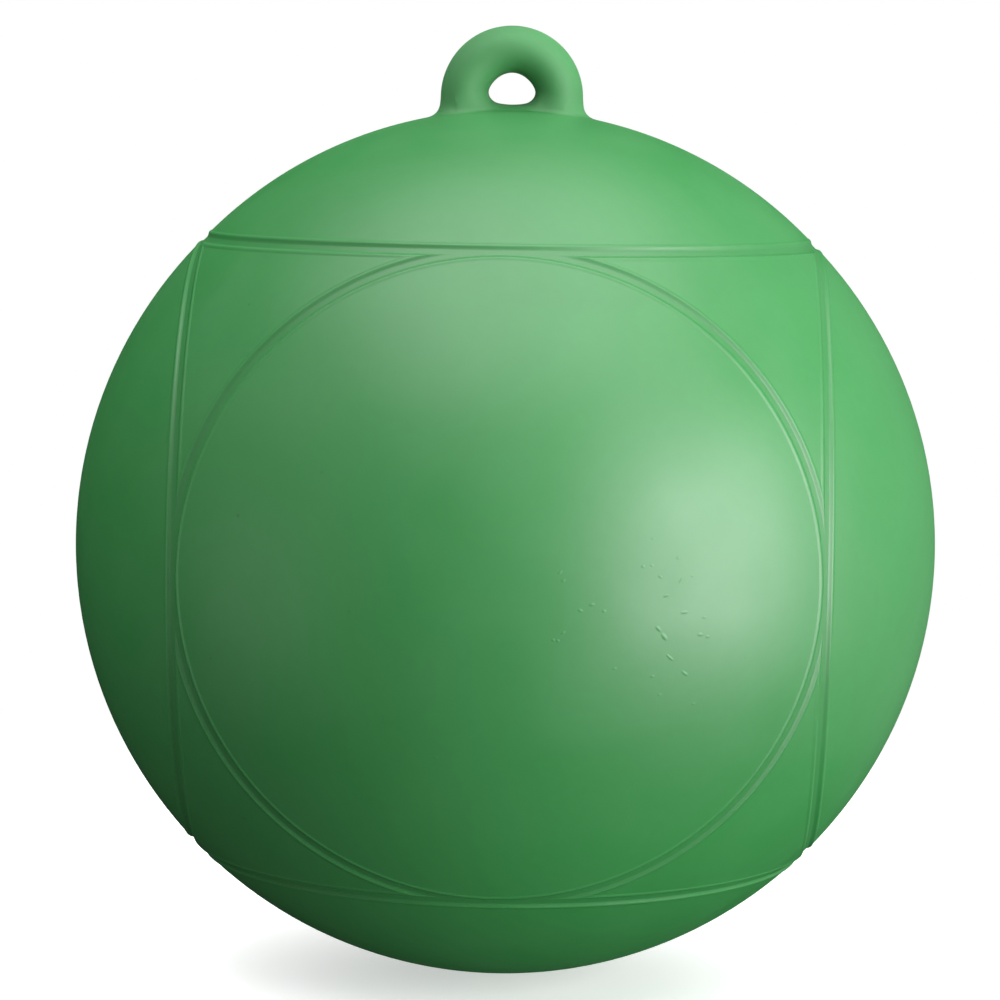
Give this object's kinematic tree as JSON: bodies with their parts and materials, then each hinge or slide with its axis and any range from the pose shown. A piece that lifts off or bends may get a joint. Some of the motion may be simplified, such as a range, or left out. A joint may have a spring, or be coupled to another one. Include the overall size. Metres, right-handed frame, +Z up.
{
  "type": "slalom buoy",
  "caption": "Hollow moulded vinyl ball buoy with touching circular grooves, a solid rope eye on its crown and a screw-closed inflation valve in its base; marks a slalom course.",
  "frame": {"origin": "centre of the ball, where the water stands on the moored buoy", "axes": "+Z up through the rope eye, +X across the eye, the rope passes through the eye along Y"},
  "size_m": [0.216, 0.216, 0.2389],
  "materials": {
    "green_vinyl": "satin moulded flexible vinyl",
    "white_nylon": "moulded nylon"
  },
  "bodies": {
    "root": {"float_shell": "green_vinyl", "rope_eye": "green_vinyl", "valve_seat": "green_vinyl", "valve_screw": "white_nylon"}
  },
  "joints": []
}
